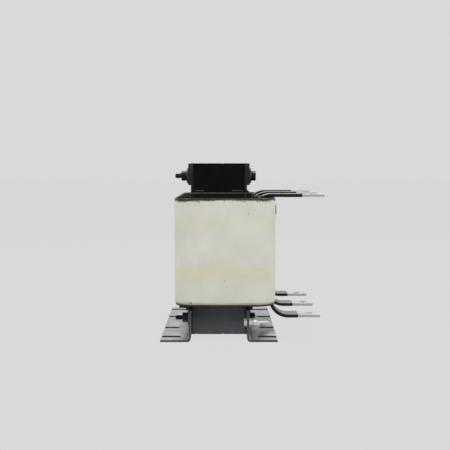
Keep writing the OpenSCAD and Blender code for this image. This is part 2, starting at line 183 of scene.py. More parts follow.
def addSoftbox(name, box):
    place = Vector(box["place"])
    aim = (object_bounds()[0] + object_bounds()[1]) / 2 - place
    bpy.ops.object.light_add(type="AREA", location=place, rotation=aim.to_track_quat("-Z", "Y").to_euler())
    lamp = bpy.context.object
    lamp.name = "softbox_" + name
    lamp.data.shape = "RECTANGLE"
    lamp.data.size, lamp.data.size_y = box["size"]
    lamp.data.energy = box["power"]


def addFloor():
    # pale card, lit mostly from within so that it stays as even as the backdrop
    bpy.ops.mesh.primitive_plane_add(size=2 * studio["floorHalf"], location=(0, 0, 0))
    floor = bpy.context.object
    floor.name = "floor"
    card = bpy.data.materials.new("paleCard")
    card.use_nodes = True
    tree = card.node_tree
    tree.nodes.clear()
    white = studio["floorWhite"]
    rays = addNode(tree, "LightPath")
    glow = addNode(tree, "MapRange", {"To Min": studio["floorBounce"], "To Max": studio["floorGlow"]},
                   {"Value": (rays, "Is Camera Ray")})
    shader = addNode(tree, "BsdfPrincipled", {
        "Base Color": (white, white, white, 1), "Roughness": 0.9, "Specular IOR Level": 0,
        "Emission Color": (1, 1, 1, 1)}, {"Emission Strength": glow})
    addNode(tree, "OutputMaterial", {}, {"Surface": shader})
    floor.data.materials.append(card)


setCamera()
setRoom()
for name, box in softboxes.items():
    addSoftbox(name, box)
addFloor()
print("camera, lights and floor set")


# Finishes

def newFinish(name, surface):
    # a shader with its constant values, the object's own coordinates and the output
    finish = bpy.data.materials.new(name)
    finish.use_nodes = True
    tree = finish.node_tree
    tree.nodes.clear()
    shader = addNode(tree, "BsdfPrincipled", surface)
    addNode(tree, "OutputMaterial", {}, {"Surface": shader})
    place = addNode(tree, "TexCoord")
    return finish, tree, shader, place


def feed(finish, shader, colour, gloss, bump=None):
    # the shader gets its colour, its roughness and, where there is one, its relief
    for name, source in {"Base Color": colour, "Roughness": gloss, "Normal": bump}.items():
        if source:
            link(finish.node_tree, source, shader.inputs[name])
    return finish


def clouded(name, surface, cloud, tones, gloss, relief=None, grit=None, stretch=None):
    # tone and gloss follow one soft pattern, and the relief follows a finer one or the same
    finish, tree, shader, place = newFinish(name, surface)
    if stretch:
        place = addNode(tree, "Mapping", {"Scale": stretch}, {"Vector": place})
    pattern = addNode(tree, "TexNoise", cloud, {"Vector": place})
    colour = addNode(tree, "ValToRGB", {"stops": tones}, {"Fac": pattern})
    roughness = addNode(tree, "MapRange", {"To Min": gloss[0], "To Max": gloss[1]}, {"Value": pattern})
    if not relief:
        return feed(finish, shader, colour, roughness)
    fine = addNode(tree, "TexNoise", grit, {"Vector": place}) if grit else pattern
    bump = addNode(tree, "Bump", relief, {"Height": fine})
    return feed(finish, shader, colour, roughness, bump)


def bakedLacquer(name, tones):
    # electrical steel dipped in black baked lacquer: deep gloss black that pools unevenly; the grey tones
    # given for a run are a painted highlight along it
    return clouded(name, {"IOR": 1.5, "Specular IOR Level": 0.22}, {"grain": 14, "Detail": 3},
                   zip((0.3, 0.72), tones), (0.16, 0.34),
                   {"Strength": 0.25, "Distance": 0.1 * mm}, {"grain": 1.1, "Detail": 2})


def greyPrimer():
    # laminations sprayed with blue-grey primer: even satin with a dry, slightly dusty overspray
    return clouded("greyPrimer", {"IOR": 1.48}, {"grain": 18, "Detail": 4, "Roughness": 0.6},
                   [(0.3, "46494c"), (0.7, "5c6066")], (0.42, 0.6),
                   {"Strength": 0.3, "Distance": 0.08 * mm}, {"grain": 0.7, "Detail": 3})


def satinPaint():
    # flat steel bar in black stoving enamel: satin black with a fine orange peel
    return clouded("satinPaint", {"IOR": 1.5}, {"grain": 11, "Detail": 3},
                   [(0.3, "101011"), (0.75, "1c1c1d")], (0.3, 0.48),
                   {"Strength": 0.35, "Distance": 0.08 * mm}, {"grain": 0.9, "Detail": 1})


def blackOxide():
    # steel fasteners blackened in hot salts and oiled: dark metal that still flashes under a lamp
    return clouded("blackOxide", {"Metallic": 0.35}, {"grain": 3, "Detail": 4},
                   [(0.3, "1c1c1e"), (0.75, "343436")], (0.18, 0.32))


def galvanisedSheet():
    # hot-dip galvanised sheet: pale matt metal broken into faint crystal flakes
    finish, tree, shader, place = newFinish("galvanisedSheet", {"Metallic": 0.45})
    flakes = addNode(tree, "TexVoronoi", {"grain": 7, "Randomness": 0.9}, {"Vector": place})
    tone = addNode(tree, "SeparateColor", {}, {"Color": (flakes, "Color")})
    colour = addNode(tree, "ValToRGB", {"stops": [(0.0, "8e9090"), (1.0, "a2a4a4")]}, {"Fac": (tone, "Red")})
    scuffs = addNode(tree, "TexNoise", {"grain": 5, "Detail": 5, "Roughness": 0.7}, {"Vector": place})
    flakeGloss = addNode(tree, "MapRange", {"To Min": 0.26, "To Max": 0.4}, {"Value": (tone, "Green")})
    gloss = addNode(tree, "Math", {"operation": "MULTIPLY_ADD", "Value_001": 0.12},
                    {"Value": scuffs, "Value_002": flakeGloss})
    bump = addNode(tree, "Bump", {"Strength": 0.15, "Distance": 0.05 * mm}, {"Height": scuffs})
    return feed(finish, shader, colour, gloss, bump)


def shearedEdge(name, tones):
    # cut edge of the sheet, bare steel: darker than the zinc and torn in fine lines; the darkest tones,
    # given for the slots, are painted shade inside them
    return clouded(name, {"Metallic": 0.8}, {"grain": 0.6, "Detail": 3}, zip((0.3, 0.7), tones),
                   (0.4, 0.6), {"Strength": 0.4, "Distance": 0.06 * mm}, stretch=(1, 1, 0.15))


def brightZinc():
    # zinc plated and blue passivated screw parts: clean bright metal, faintly blue with a trace of straw
    return clouded("brightZinc", {"Metallic": 0.45}, {"grain": 4, "Detail": 2},
                   [(0.25, "eff3f8"), (0.6, "f8f9fa"), (0.85, "f5f1e4")], (0.1, 0.22))


def tinnedCopper():
    # flat copper bar dipped in tin: soft silvery metal with long wipe marks along the bar
    return clouded("tinnedCopper", {"Metallic": 0.4}, {"grain": 1.6, "Detail": 4, "Roughness": 0.65},
                   [(0.3, "abafaf"), (0.7, "bdc1c1")], (0.5, 0.68),
                   {"Strength": 0.2, "Distance": 0.05 * mm}, stretch=(0.12, 1, 1))


def rolledCopper():
    # rolled copper foil, its edge darkened by the resin
    return clouded("rolledCopper", {"Metallic": 1}, {"grain": 6, "Detail": 4},
                   [(0.3, "7a4a2c"), (0.7, "b87348")], (0.3, 0.5))


def heatShrink():
    # polyolefin tube shrunk on with hot air: black, satin, with faint lengthwise flow lines
    return clouded("heatShrink", {"IOR": 1.5}, {"grain": 1.8, "Detail": 3},
                   [(0.3, "0c0c0d"), (0.7, "161617")], (0.18, 0.32),
                   {"Strength": 0.3, "Distance": 0.1 * mm}, stretch=(0.2, 1, 0.2))


def glassLaminate():
    # pressed glass-polyester board, sawn to strips: dark, dull, with short fibres in the surface
    finish, tree, shader, place = newFinish("glassLaminate", {"IOR": 1.53})
    along = addNode(tree, "Mapping", {"Scale": (1, 0.25, 1)}, {"Vector": place})
    fibres = addNode(tree, "TexVoronoi", {"feature": "DISTANCE_TO_EDGE", "grain": 1.5},
                     {"Vector": along})
    colour = addNode(tree, "ValToRGB", {"stops": [(0.0, "3d3b36"), (0.25, "24231f")]},
                     {"Fac": (fibres, "Distance")})
    speck = addNode(tree, "TexNoise", {"grain": 2, "Detail": 3}, {"Vector": place})
    gloss = addNode(tree, "MapRange", {"To Min": 0.4, "To Max": 0.6}, {"Value": speck})
    bump = addNode(tree, "Bump", {"Strength": 0.25, "Distance": 0.06 * mm}, {"Height": (fibres, "Distance")})
    return feed(finish, shader, colour, gloss, bump)


phenolicLook = {
    "black": ("08080a", "101010"),
    "highlightBand": 0.6,  # mm at the top edge where a grey highlight is painted
    "highlightGrey": "7c7c7a",
}


def mouldedPhenolic(top):
    # black phenolic, compression moulded: dense black with a dull sheen, and a patchy grey band along its
    # top edge that is a painted highlight
    finish, tree, shader, place = newFinish("mouldedPhenolic", {"IOR": 1.55, "Specular IOR Level": 0.14})
    flow = addNode(tree, "TexNoise", {"grain": 9, "Detail": 2, "Distortion": 1.2}, {"Vector": place})
    black = addNode(tree, "ValToRGB", {"stops": zip((0.3, 0.7), phenolicLook["black"])}, {"Fac": flow})
    part = addNode(tree, "SeparateXYZ", {}, {"Vector": place})
    half = phenolicLook["highlightBand"] * mm / 2
    edge = addNode(tree, "Math", {"operation": "COMPARE", "Value_001": top - half, "Value_002": half},
                   {"Value": (part, "Z")})
    # noise that breaks the painted highlight at the top edge into patches
    scuffs = addNode(tree, "TexNoise", {"grain": 3, "Detail": 3}, {"Vector": place})
    highlightPatches = addNode(tree, "MapRange", {"From Min": 0.3, "From Max": 0.6, "To Min": 0.35, "To Max": 0.9},
                   {"Value": scuffs})
    amount = addNode(tree, "Math", {"operation": "MULTIPLY"}, {"Value": edge, "Value_001": highlightPatches})
    colour = addNode(tree, "Mix", {"data_type": "RGBA", "B_Color": linear(phenolicLook["highlightGrey"])},
                     {"A_Color": black, "Factor_Float": amount})
    gloss = addNode(tree, "MapRange", {"To Min": 0.38, "To Max": 0.55}, {"Value": flow})
    grain = addNode(tree, "TexNoise", {"grain": 0.8, "Detail": 2}, {"Vector": place})
    bump = addNode(tree, "Bump", {"Strength": 0.2, "Distance": 0.06 * mm}, {"Height": grain})
    return feed(finish, shader, colour, gloss, bump)


def soakedBoard():
    # pressboard soaked in resin: dark olive brown, glossy where the resin has run
    return clouded("soakedBoard", {"IOR": 1.52}, {"grain": 4, "Detail": 4, "Roughness": 0.6},
                   [(0.25, "1d1b14"), (0.55, "302c20"), (0.8, "4a4230")], (0.22, 0.6),
                   {"Strength": 0.35, "Distance": 0.12 * mm}, stretch=(1, 1, 0.35))


wrapLook = {
    "cream": ("d6d4c3", "e3e4d9"),  # resin-yellowed and clean
    "bandYellow": "e2ddae",
    "bands": ((80.7, 3.4, 0.75), (136.6, 2.6, 0.3)),  # height of the middle, half the width in mm, strength
    "bandFade": (1.7, 0.2),  # times half its width from its middle, where a band starts and is full
    "bandWander": 3.2,  # mm that a band's edge wanders
    "soakedEdge": 4.0,  # mm of resin-darkened tape at each rim
    "edgeBrown": "8f8a74",
    "rim": (3.0, 1.1),  # mm from each rim where the darkening starts, and where it is full
    "rimShares": (0.15, 1.0),  # how dark, at the lower rim and the upper one
    "rimGrey": "2b2b27",
    "speckBrown": "4a3b2a",
    "rimSpecks": 8.0,  # mm below the upper rim that are sprinkled with lacquer
    "thread": 0.9,  # mm between threads; real ones lie 0.4 apart, too fine to show
    "threadWave": 6.5,  # a wave texture's grain for one thread between its crests
}


def wrapTape(low, high):
    # woven polyester tape, varnished white: cream cloth with yellowed resin bands, blotches and a few specks
    finish, tree, shader, place = newFinish("wrapTape", {"IOR": 1.47, "Specular IOR Level": 0.4})
    blotch = addNode(tree, "TexNoise", {"grain": 30, "Detail": 4, "Roughness": 0.55}, {"Vector": place})
    colour = addNode(tree, "ValToRGB", {"stops": zip((0.25, 0.72), wrapLook["cream"])}, {"Fac": blotch})
    layers = []  # over the cream, the lowest first
    part = addNode(tree, "SeparateXYZ", {}, {"Vector": place})
    smear = addNode(tree, "Mapping", {"Scale": (0.3, 0.3, 1)}, {"Vector": place})
    wander = addNode(tree, "TexNoise", {"grain": 9, "Detail": 4}, {"Vector": smear})
    most = wrapLook["bandWander"] * mm
    drift = addNode(tree, "MapRange", {"To Min": -most, "To Max": most}, {"Value": wander})
    height = addNode(tree, "Math", {"operation": "ADD"}, {"Value": (part, "Z"), "Value_001": drift})
    patchy = addNode(tree, "MapRange", {"From Min": 0.25, "From Max": 0.6, "To Min": 0.5}, {"Value": wander})
    for middle, half, strength in wrapLook["bands"]:
        away = addNode(tree, "Math", {"operation": "SUBTRACT", "Value_001": middle * mm}, {"Value": height})
        far = addNode(tree, "Math", {"operation": "ABSOLUTE"}, {"Value": away})
        start, full = (half * fade * mm for fade in wrapLook["bandFade"])
        band = addNode(tree, "MapRange", {
            "interpolation_type": "SMOOTHSTEP", "From Min": start, "From Max": full,
            "To Max": strength}, {"Value": far})
        amount = addNode(tree, "Math", {"operation": "MULTIPLY"}, {"Value": band, "Value_001": patchy})
        layers.append(("bandYellow", amount))
    middle = (low.z + high.z) / 2
    rim = (high.z - low.z) / 2
    fromMiddle = addNode(tree, "Math", {"operation": "SUBTRACT", "Value_001": middle}, {"Value": height})
    outward = addNode(tree, "Math", {"operation": "ABSOLUTE"}, {"Value": fromMiddle})
    soaked = addNode(tree, "MapRange", {
        "interpolation_type": "SMOOTHSTEP", "From Min": rim - wrapLook["soakedEdge"] * mm,
        "From Max": rim, "To Max": 0.55}, {"Value": outward})
    layers.append(("edgeBrown", soaked))
    # darker towards each rim, slightly at the lower one and to black at the upper one
    for way, share in zip((-1, 1), wrapLook["rimShares"]):
        start, full = (way * (rim - width * mm) for width in wrapLook["rim"])
        rimDarkening = addNode(tree, "MapRange", {"From Min": start, "From Max": full, "To Max": share},
                          {"Value": fromMiddle})
        layers.append(("rimGrey", rimDarkening))
    drops = addNode(tree, "TexNoise", {"grain": 1.8, "Detail": 2}, {"Vector": place})
    below = addNode(tree, "MapRange", {
        "From Min": rim - wrapLook["rimSpecks"] * mm, "From Max": rim, "To Max": 0.36},
        {"Value": fromMiddle})
    reached = addNode(tree, "Math", {"operation": "ADD"}, {"Value": drops, "Value_001": below})
    sprinkled = addNode(tree, "MapRange", {"From Min": 0.8, "From Max": 0.86, "To Max": 0.8},
                        {"Value": reached})
    layers.append(("rimGrey", sprinkled))
    dirt = addNode(tree, "TexNoise", {"grain": 5, "Detail": 2, "Roughness": 0.4}, {"Vector": place})
    specks = addNode(tree, "MapRange", {"From Min": 0.775, "From Max": 0.8}, {"Value": dirt})
    layers.append(("speckBrown", specks))
    for tone, amount in layers:
        colour = addNode(tree, "Mix", {"data_type": "RGBA", "B_Color": linear(wrapLook[tone])},
                         {"A_Color": colour, "Factor_Float": amount})
    gloss = addNode(tree, "MapRange", {"To Min": 0.42, "To Max": 0.62}, {"Value": blotch})
    weft = addNode(tree, "TexWave", {
        "bands_direction": "Z", "grain": wrapLook["thread"] * wrapLook["threadWave"],
        "Distortion": 0.6}, {"Vector": place})
    puckers = addNode(tree, "TexNoise", {"grain": 12, "Detail": 2}, {"Vector": smear})
    folds = addNode(tree, "Bump", {"Strength": 0.35, "Distance": 0.8 * mm}, {"Height": puckers})
    bump = addNode(tree, "Bump", {"Strength": 0.12, "Distance": 0.12 * mm},
                   {"Height": weft, "Normal": folds})
    return feed(finish, shader, colour, gloss, bump)


def agedTape():
    # polyester film tape baked dark brown in the oven: dull, with the weave below pressed through
    return clouded("agedTape", {"IOR": 1.5}, {"grain": 5, "Detail": 3},
                   [(0.35, "1c1815"), (0.65, "403a33")], (0.4, 0.6),
                   {"Strength": 0.2, "Distance": 0.08 * mm}, {"grain": 0.9, "Detail": 2})


finishes = {
    "lacquer": bakedLacquer("bakedLacquer", ("060607", "0d0d0e")),
    # the runs' pale grey tones are a painted highlight
    "run": bakedLacquer("lacquerRunPaintedHighlight", ("2e2e30", "464648")),
    "tab": agedTape(),
    "primer": greyPrimer(),
    "paint": satinPaint(),
    "oxide": blackOxide(),
    "galvanised": galvanisedSheet(),
    "sheared": shearedEdge("shearedEdge", ("4b4c4d", "727475")),
    # darker tones for the slot walls: painted shade inside the slots
    "slot": shearedEdge("slotEdgePaintedShade", ("1f2021", "353637")),
    "zinc": brightZinc(),
    "tin": tinnedCopper(),
    "copper": rolledCopper(),
    "sleeve": heatShrink(),
    "laminate": glassLaminate(),
    "phenolic": mouldedPhenolic(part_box("winding_former_front")[1].z),
    "board": soakedBoard(),
    "wrap": wrapTape(*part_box("coil_wrap_front")),
}
print("finishes made,", len(finishes))


# Tools for the modelling below

def pieceName(node):
    # coil_wrap_front is dressed by coilWrapFront
    first, *others = node.split("_")
    return first + "".join(word.title() for word in others)


def activate(piece):
    # only this piece is selected, and operators act on it
    bpy.ops.object.select_all(action="DESELECT")
    piece.select_set(True)
    bpy.context.view_layer.objects.active = piece


def openMesh():
    # the active piece in edit mode, with all of it selected
    bpy.ops.object.mode_set(mode="EDIT")
    bpy.ops.mesh.select_all(action="SELECT")


def closeMesh():
    bpy.ops.object.mode_set(mode="OBJECT")


def settle(piece):
    # the piece's place goes into its mesh, its object to the origin
    activate(piece)
    bpy.ops.object.transform_apply(location=True, rotation=True, scale=True)
    return piece


def addBlock(name, low, high):
    bpy.ops.object.select_all(action="DESELECT")
    bpy.ops.mesh.primitive_cube_add(size=1, location=(Vector(low) + Vector(high)) / 2)
    block = bpy.context.object
    block.name = name
    block.scale = Vector(high) - Vector(low)
    return settle(block)


def addRound(name, middle, radius, start, end, sides=roundSides):
    # a cylinder along X from start to end; middle gives its Y and Z
    bpy.ops.object.select_all(action="DESELECT")
    bpy.ops.mesh.primitive_cylinder_add(vertices=sides, radius=radius, depth=end - start,
                                        location=((start + end) / 2, middle.y, middle.z),
                                        rotation=(0, math.pi / 2, 0))
    rod = bpy.context.object
    rod.name = name
    return settle(rod)


def selectWhere(piece, kind, passes):
    # leaves the piece in edit mode with those of its faces or edges selected that pass
    bpy.ops.object.mode_set(mode="EDIT")
    bpy.ops.mesh.select_mode(type=kind)
    bpy.ops.mesh.select_all(action="DESELECT")
    closeMesh()
    for part in piece.data.polygons if kind == "FACE" else piece.data.edges:
        part.select = passes(part)
    bpy.ops.object.mode_set(mode="EDIT")


def selectFaces(piece, test):
    # by a face's middle and normal
    selectWhere(piece, "FACE", lambda face: test(face.center, face.normal))


def selectEdges(piece, test):
    # by the places of an edge's two ends
    selectWhere(piece, "EDGE", lambda edge: test(*(piece.data.vertices[at].co for at in edge.vertices)))


def evenly(start, end, count):
    # the places that part start to end into count equal lengths
    return [start + (end - start) * at / count for at in range(1, count)]


def cutAcross(axis, spots):
    # cuts the piece in edit mode square to an axis, at each of these places along it
    square = {"x": Vector((1, 0, 0)), "y": Vector((0, 1, 0)), "z": Vector((0, 0, 1))}[axis]
    for spot in spots:
        bpy.ops.mesh.select_all(action="SELECT")
        bpy.ops.mesh.bisect(plane_co=square * spot, plane_no=square)


def finishWith(piece, kind, **settings):
    # one modifier, set and applied
    activate(piece)
    modifier = piece.modifiers.new(kind.lower(), kind)
    for name, value in settings.items():
        setattr(modifier, name, value)
    bpy.ops.object.modifier_apply(modifier=modifier.name)
    return piece


def smooth(piece, angle=35):
    # no crease where faces meet at less than this many degrees
    activate(piece)
    bpy.ops.object.shade_smooth_by_angle(angle=math.radians(angle))
    return piece


def roundEdges(piece, width, segments=2, angle=30):
    # a bevel of width mm where faces meet at more than angle degrees
    finishWith(piece, "BEVEL", width=width * mm, segments=segments, limit_method="ANGLE",
               angle_limit=math.radians(angle))
    return smooth(piece)


def cutWith(piece, cutter, operation="DIFFERENCE"):
    finishWith(piece, "BOOLEAN", object=cutter, operation=operation, solver="EXACT")
    bpy.data.objects.remove(cutter)
    return piece


def ripple(point, wave):
    # a soft random height from 0 to 1, with wave mm from dip to dip
    return (1 + noise.noise(point / (wave * mm))) / 2


def changeAbout(piece, middle, change):
    # turns or scales the mesh about a point
    there = Matrix.Translation(middle)
    piece.data.transform(there @ change @ there.inverted())


def addOutline(name, points):
    # a piece that is only a line through these points
    outline = bpy.data.meshes.new(name)
    outline.from_pydata(points, [(at, at + 1) for at in range(len(points) - 1)], [])
    piece = bpy.data.objects.new(name, outline)
    bpy.context.scene.collection.objects.link(piece)
    return piece


def copyOf(piece, name, move):
    twin = piece.copy()
    twin.data = piece.data.copy()
    twin.name = name
    twin.data.transform(Matrix.Translation(move))
    bpy.context.scene.collection.objects.link(twin)
    return twin


def joinAll(name, pieces):
    bpy.ops.object.select_all(action="DESELECT")
    for piece in pieces:
        piece.select_set(True)
    bpy.context.view_layer.objects.active = pieces[0]
    bpy.ops.object.join()
    pieces[0].name = name
    return pieces[0]


cadMesh = {
    "flat": 0.5,  # degrees between two faces that become one
    "digits": 4,  # of a corner's place in m, to put solids in order
}


def cadCopy(node, name):
    # a CAD node's mesh, welded, with each flat area as one face
    piece = nodes[node].copy()
    piece.data = nodes[node].data.copy()
    piece.parent = None
    for key in [key for key in piece.keys() if key.startswith("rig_")]:
        del piece[key]
    piece.name = name
    bpy.context.scene.collection.objects.link(piece)
    piece.data.materials.clear()
    activate(piece)
    bpy.ops.mesh.customdata_custom_splitnormals_clear()
    openMesh()
    bpy.ops.mesh.remove_doubles(threshold=hair)
    bpy.ops.mesh.dissolve_limited(angle_limit=math.radians(cadMesh["flat"]))
    closeMesh()
    return piece


def corners(piece):
    points = [vertex.co for vertex in piece.data.vertices]
    low = Vector([min(point[axis] for point in points) for axis in range(3)])
    high = Vector([max(point[axis] for point in points) for axis in range(3)])
    return low, high


def solidBoxes(node):
    # low and high corner of each separate solid in a CAD node
    cadCopy(node, "sorting")
    openMesh()
    bpy.ops.mesh.separate(type="LOOSE")
    closeMesh()
    solids = list(bpy.context.selected_objects)
    boxes = [corners(solid) for solid in solids]
    for solid in solids:
        bpy.data.objects.remove(solid)
    return sorted(boxes, key=lambda box: tuple(round(part, cadMesh["digits"]) for part in box[0]))


def drillBoltHoles(piece, low, high, past, sides=roundSides):
    # one bore for each bolt tube that passes between these corners
    for tubeLow, tubeHigh in solidBoxes("bolt_tubes"):
        middle = (tubeLow + tubeHigh) / 2
        if low.z < middle.z < high.z:
            bore = (tubeHigh.y - tubeLow.y) / 2
            cutWith(piece, addRound("bore", middle, bore, low.x - past, high.x + past, sides))


def paint(piece, finish):
    piece.data.materials.clear()
    piece.data.materials.append(finishes[finish])


def dress(piece, finish, node, body="choke", standsFor=True):
    # the piece gets its finish and its body, and stands for that node unless it's an extra
    if finish:
        paint(piece, finish)
    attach(piece, body)
    if standsFor:
        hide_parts(node)
    return piece


def softened(node, finish, edge, segments=2, angle=30, body="choke", name=None):
    # a piece in the shape of its CAD node, with its edges rounded
    piece = cadCopy(node, name or pieceName(node))
    return dress(roundEdges(piece, edge, segments, angle), finish, node, body)


# Laminated yokes

yokeLook = {
    "sheet": 1.0,  # mm; the real sheets are 0.5 thick, drawn twice as coarse so that they show
    "edge": 0.12,
    "boreSides": 24,
    "standBack": 0.18,  # most that one sheet stands back from the next
    "jointBack": 0.6,  # the same at a joint between two packs of sheets
    "jointShares": (0.042, 0.565),  # where along the stack those joints are
    "runs": ((-28, -17), (15, 28)),  # mm along X, of the lacquer that ran down
    "runHeight": 2.3,
    "runThick": 0.7,
    "runSides": 16,
}


def laminatedYoke(name, node, finish):
    # one bevelled and drilled sheet, then the whole stack with small steps between the sheets
    low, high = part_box(node)
    count = round((high.x - low.x) / (yokeLook["sheet"] * mm))
    pitch = (high.x - low.x) / count
    sheetHigh = Vector((low.x + pitch, high.y, high.z))
    sheet = addBlock(name, low, sheetHigh)
    drillBoltHoles(sheet, low, sheetHigh, pitch, yokeLook["boreSides"])
    finishWith(sheet, "BEVEL", width=yokeLook["edge"] * mm, segments=1, limit_method="ANGLE")
    middle = (low + high) / 2
    joints = [round(share * count) for share in yokeLook["jointShares"]]
    sheets = [sheet]
    for at in range(1, count):
        sheets.append(copyOf(sheet, name, (at * pitch, 0, 0)))
    for at, one in enumerate(sheets):
        back = (yokeLook["jointBack"] if at in joints else dice.uniform(0, yokeLook["standBack"])) * mm
        size = (1, 1 - 2 * back / (high.y - low.y), 1 - 2 * back / (high.z - low.z))
        changeAbout(one, middle, Matrix.Diagonal((*size, 1)))
    return dress(smooth(joinAll(name, sheets)), finish, node)


def lacquerRuns():
    # two beads of lacquer along the foot of the top yoke's front end, coloured pale grey as a painted
    # highlight
    low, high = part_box("top_yoke")
    middle = Vector((0, low.y, low.z + yokeLook["runHeight"] * mm))
    thick = yokeLook["runThick"]
    runs = []
    for start, end in yokeLook["runs"]:
        run = addRound("lacquerRuns", middle, thick * mm, start * mm, end * mm, yokeLook["runSides"])
        runs.append(roundEdges(run, thick / 2, segments=3, angle=50))
    return dress(joinAll("lacquerRuns", runs), "run", "top_yoke", standsFor=False)


laminatedYoke("yokeBottom", "bottom_yoke", "primer")
laminatedYoke("yokeTop", "top_yoke", "lacquer")
lacquerRuns()
print("yokes stacked")


# Clamp bars, feet and insulating strips

sheetMetal = {
    "thick": 2.5,  # mm, of the feet
    "footEdge": 0.25,
    "barEdge": 0.5,
    "stripEdge": 0.2,
    "upright": 0.5,  # of a face's normal along Z, below which it is a slot's wall
}


def topStrip(side):
    # reaches down the whole side of the yoke, to the coils' formers
    node = "top_strip_" + side
    low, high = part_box(node)
    bottom, top = (corner.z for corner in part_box("top_yoke"))
    tall = addBlock(pieceName(node), (low.x, low.y, bottom), (high.x, high.y, top))
    drillBoltHoles(tall, low, high, overrun)
    return dress(roundEdges(tall, sheetMetal["stripEdge"]), "paint", node)


def foot(side):
    # the angle's sheared edges get their own finish, and the walls of its punched slots a darker one that is
    # painted shade
    node = "foot_" + side
    low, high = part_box(node)
    angle = roundEdges(cadCopy(node, pieceName(node)), sheetMetal["footEdge"])
    inner = min(abs(low.x), abs(high.x))
    thick = sheetMetal["thick"] * mm
    near = thick / 4
    for finish in ("galvanised", "sheared", "slot"):
        angle.data.materials.append(finishes[finish])
    for face in angle.data.polygons:
        x, y, z = face.center
        onLeaf = z < thick and abs(x) > inner + 2 * thick
        onTop = z > high.z - near and face.normal.z > facing
        upright = abs(face.normal.z) < sheetMetal["upright"]
        cut = abs(face.normal.y) > facing or onTop or onLeaf and upright
        atEdge = min(y - low.y, high.y - y, high.x - x, x - low.x) < near
        # index 2, the slot walls, carries the painted shade of the slots
        face.material_index = 0 if not cut else 1 if atEdge or onTop else 2
    return dress(angle, None, node)


for side in ("left", "right"):
    softened("clamp_bar_" + side, "paint", sheetMetal["barEdge"], segments=3, name="clampBar_" + side)
    topStrip(side)
    softened("foot_strip_" + side, "laminate", sheetMetal["stripEdge"])
    foot(side)
print("clamp bars, feet and strips made")


# Coils

wrapShape = {
    "corner": 22.5,  # mm, radius of the rounded corners
    "cornerSteps": 12,
    "bulge": 2.7,  # how far the long sides belly out
    "wall": 1.0,
    "edge": 0.4,
    "columns": 22,  # parts of a long side
    "ends": 6,  # parts of a short side
    "rows": 24,
    "lipHeight": 5.0,  # the rims are drawn in over this height
    "lipShares": (0.1, 0.3, 0.6),  # where a rim is cut in rows
    "lipInset": (0.9, 0.25),  # by this at the lower rim and the upper one
    "waviness": 0.2,  # most that the cloth dips below its tight outline
    "wave": 34,  # mm from dip to dip
}


def coilWrap(place):
    # a tube with rounded corners, cut into rows and columns, bellied, rippled and given its wall
    node = "coil_wrap_" + place
    low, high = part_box(node)
    bulge = wrapShape["bulge"] * mm
    corner = wrapShape["corner"] * mm
    tube = addBlock(pieceName(node), low + Vector((0, bulge, 0)), high - Vector((0, bulge, 0)))
    selectEdges(tube, lambda a, b: abs(a.z - b.z) > corner)
    bpy.ops.mesh.bevel(offset=corner, segments=wrapShape["cornerSteps"])
    selectFaces(tube, lambda middle, normal: abs(normal.z) > facing)
    bpy.ops.mesh.delete(type="FACE")
    cutAcross("x", evenly(low.x + corner, high.x - corner, wrapShape["columns"]))
    cutAcross("y", evenly(low.y + bulge + corner, high.y - bulge - corner, wrapShape["ends"]))
    lip = wrapShape["lipHeight"] * mm
    rows = wrapShape["rows"]
    cutAcross("z", [low.z + lip * share for share in wrapShape["lipShares"]])
    cutAcross("z", [high.z - lip * share for share in wrapShape["lipShares"]])
    cutAcross("z", [low.z + lip + (high.z - low.z - 2 * lip) * at / rows for at in range(rows + 1)])
    closeMesh()
    shapeWrap(tube, low, high)
    finishWith(tube, "SOLIDIFY", thickness=wrapShape["wall"] * mm, offset=-1)
    roundEdges(tube, wrapShape["edge"], angle=50)
    return dress(smooth(tube, angle=60), "wrap", node)


def shapeWrap(tube, low, high):
    # moves each point of the tube: belly, drawn-in rims and slack cloth, never past the CAD outline
    bulge = wrapShape["bulge"] * mm
    lip = wrapShape["lipHeight"] * mm
    centre = (low + high) / 2
    half = (high.x - low.x) / 2
    outward = [vertex.normal.copy() for vertex in tube.data.vertices]
    for vertex, normal in zip(tube.data.vertices, outward):
        point = vertex.co.copy()
        toRim = min(point.z - low.z, high.z - point.z)
        inset = wrapShape["lipInset"][0 if point.z < centre.z else 1]
        drawn = inset * mm * max(0, 1 - toRim / lip) ** 2
        slack = wrapShape["waviness"] * mm * ripple(point, wrapShape["wave"])
        share = (point.x - centre.x) / half
        point.y += math.copysign(bulge * (1 - share * share), point.y - centre.y)
        vertex.co = point - normal * (drawn + slack)


packingShape = {
    "rise": 1.8,  # mm above the former
    "flatTop": 1.6,
    "slope": 4.5,
    "edge": 0.5,
}


def leadPacking(place):
    # a bar with its outer top edge planed off at a slope
    node = "lead_packing_" + place
    low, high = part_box(node)
    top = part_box("winding_former_" + place)[1].z + packingShape["rise"] * mm
    bar = addBlock(pieceName(node), low, (high.x, high.y, top))
    openMesh()
    cutAcross("x", [low.x + packingShape["flatTop"] * mm])
    selectEdges(bar, lambda a, b: min(a.z, b.z) > top - hair and min(a.x, b.x) > high.x - hair)
    bpy.ops.transform.translate(value=(0, 0, -packingShape["slope"] * mm))
    closeMesh()
    return dress(roundEdges(bar, packingShape["edge"], segments=3, angle=20), "phenolic", node)


tabShape = {
    "from": 146.0,  # mm above the floor
    "height": 10.6,
    "width": 16.0,
    "thick": 1.4,  # three layers
    "sunk": 0.3,  # pressed into the wrap
    "lift": 0.6,
    "wave": 9.0,
    "folds": 5,
    "edge": 0.25,
}


